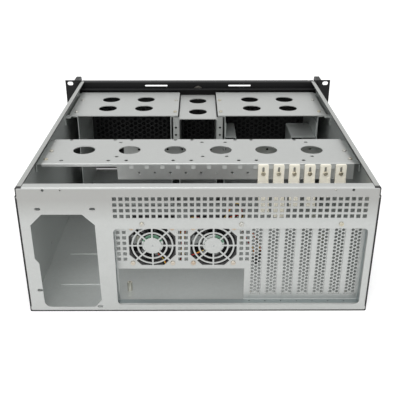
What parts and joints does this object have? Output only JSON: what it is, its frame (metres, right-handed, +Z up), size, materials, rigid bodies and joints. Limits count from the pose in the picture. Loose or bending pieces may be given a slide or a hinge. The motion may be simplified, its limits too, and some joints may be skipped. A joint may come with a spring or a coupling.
{
  "type": "server case",
  "caption": "Open rackmount computer case without its top cover: galvanised body, recessed ports, rear fans, card slots, cross bar, drive cages, hinged front door and handles.",
  "frame": {"origin": "under the middle of the rear panel, on the surface that the case stands on", "axes": "+X to the right seen from behind, +Y from the rear panel to the front, +Z up"},
  "size_m": [0.4826, 0.4972, 0.177],
  "materials": {
    "galvanised_steel": "bare galvanised sheet with a faint spangle, satin",
    "zinc_screws": "yellowish zinc plating, satin",
    "black_coat": "black powder coat with a fine texture",
    "fan_plastic": "black moulded plastic, matt",
    "beige_plastic": "beige moulded plastic, satin",
    "stator_steel": "dull steel laminations",
    "label_film": "white film with one plain green field, satin",
    "lead_sleeve": "red, yellow and black wires",
    "filter_foam": "dark open-cell foam",
    "lock_metal": "dull nickel plating",
    "standoff_metal": "plated brass, satin"
  },
  "bodies": {
    "case": {"backplate_screws": "zinc_screws", "bar_bracket_left": "galvanised_steel", "bar_bracket_right": "galvanised_steel", "board_standoffs": "standoff_metal", "cage_screws": "zinc_screws", "cage_wall_bracket_left": "galvanised_steel", "cage_wall_bracket_right": "galvanised_steel", "centre_drive_cage": "galvanised_steel", "chassis_tray": "galvanised_steel", "cross_bar": "galvanised_steel", "cross_bar_screws": "zinc_screws", "cross_bar_stiffener": "galvanised_steel", "door_hinge_pins": "lock_metal", "fan_left_frame": "fan_plastic", "fan_left_label": "label_film", "fan_left_lead": "lead_sleeve", "fan_left_plug": "fan_plastic", "fan_left_stator": "stator_steel", "fan_right_frame": "fan_plastic", "fan_right_label": "label_film", "fan_right_lead": "lead_sleeve", "fan_right_plug": "fan_plastic", "fan_right_stator": "stator_steel", "fan_screws": "zinc_screws", "front_crossmember": "black_coat", "front_mesh": "black_coat", "front_panel": "black_coat", "handle_left": "black_coat", "handle_right": "black_coat", "handle_screws": "black_coat", "hold_down_screws": "zinc_screws", "io_backplate": "galvanised_steel", "left_cage_top": "galvanised_steel", "left_drive_cage": "galvanised_steel", "rear_panel": "galvanised_steel", "right_cage_drive_bracket": "galvanised_steel", "right_cage_top": "galvanised_steel", "right_drive_cage": "galvanised_steel", "slot_cover_1": "galvanised_steel", "slot_cover_2": "galvanised_steel", "slot_cover_3": "galvanised_steel", "slot_cover_4": "galvanised_steel", "slot_cover_5": "galvanised_steel", "slot_cover_6": "galvanised_steel", "slot_cover_7": "galvanised_steel", "slot_cover_screws": "zinc_screws", "wall_rivets": "galvanised_steel"},
    "fan_left_wheel": {"fan_left_rotor": "fan_plastic"},
    "fan_right_wheel": {"fan_right_rotor": "fan_plastic"},
    "card_hold_down_1": {"hold_down_1": "beige_plastic"},
    "card_hold_down_2": {"hold_down_2": "beige_plastic"},
    "card_hold_down_3": {"hold_down_3": "beige_plastic"},
    "card_hold_down_4": {"hold_down_4": "beige_plastic"},
    "card_hold_down_5": {"hold_down_5": "beige_plastic"},
    "card_hold_down_6": {"hold_down_6": "beige_plastic"},
    "door": {"front_door": "black_coat", "dust_filter": "filter_foam", "lock_barrel": "lock_metal"},
    "lock": {"lock_plug": "lock_metal", "lock_cam": "lock_metal"}
  },
  "joints": [
    {"name": "fan_left_spin", "type": "hinge", "parent": "case", "child": "fan_left_wheel", "pos_m": [-0.0568, 0.0257, 0.0897], "axis": [0, 1, 0], "continuous": true},
    {"name": "fan_right_spin", "type": "hinge", "parent": "case", "child": "fan_right_wheel", "pos_m": [0.019, 0.0257, 0.0897], "axis": [0, 1, 0], "continuous": true},
    {"name": "hold_down_1_slide", "type": "slide", "parent": "case", "child": "card_hold_down_1", "axis": [0, 0, 1], "range_m": [-0.0075, 0]},
    {"name": "hold_down_2_slide", "type": "slide", "parent": "case", "child": "card_hold_down_2", "axis": [0, 0, 1], "range_m": [-0.0075, 0]},
    {"name": "hold_down_3_slide", "type": "slide", "parent": "case", "child": "card_hold_down_3", "axis": [0, 0, 1], "range_m": [-0.0075, 0]},
    {"name": "hold_down_4_slide", "type": "slide", "parent": "case", "child": "card_hold_down_4", "axis": [0, 0, 1], "range_m": [-0.0075, 0]},
    {"name": "hold_down_5_slide", "type": "slide", "parent": "case", "child": "card_hold_down_5", "axis": [0, 0, 1], "range_m": [-0.0075, 0]},
    {"name": "hold_down_6_slide", "type": "slide", "parent": "case", "child": "card_hold_down_6", "axis": [0, 0, 1], "range_m": [-0.0075, 0]},
    {"name": "front_door_hinge", "type": "hinge", "parent": "case", "child": "door", "pos_m": [0.2035, 0.4688, 0], "axis": [0, 0, -1], "range_deg": [0, 105]},
    {"name": "door_lock_turn", "type": "hinge", "parent": "door", "child": "lock", "pos_m": [0, 0.4688, 0.1574], "axis": [0, 1, 0], "range_deg": [-90, 0]}
  ]
}
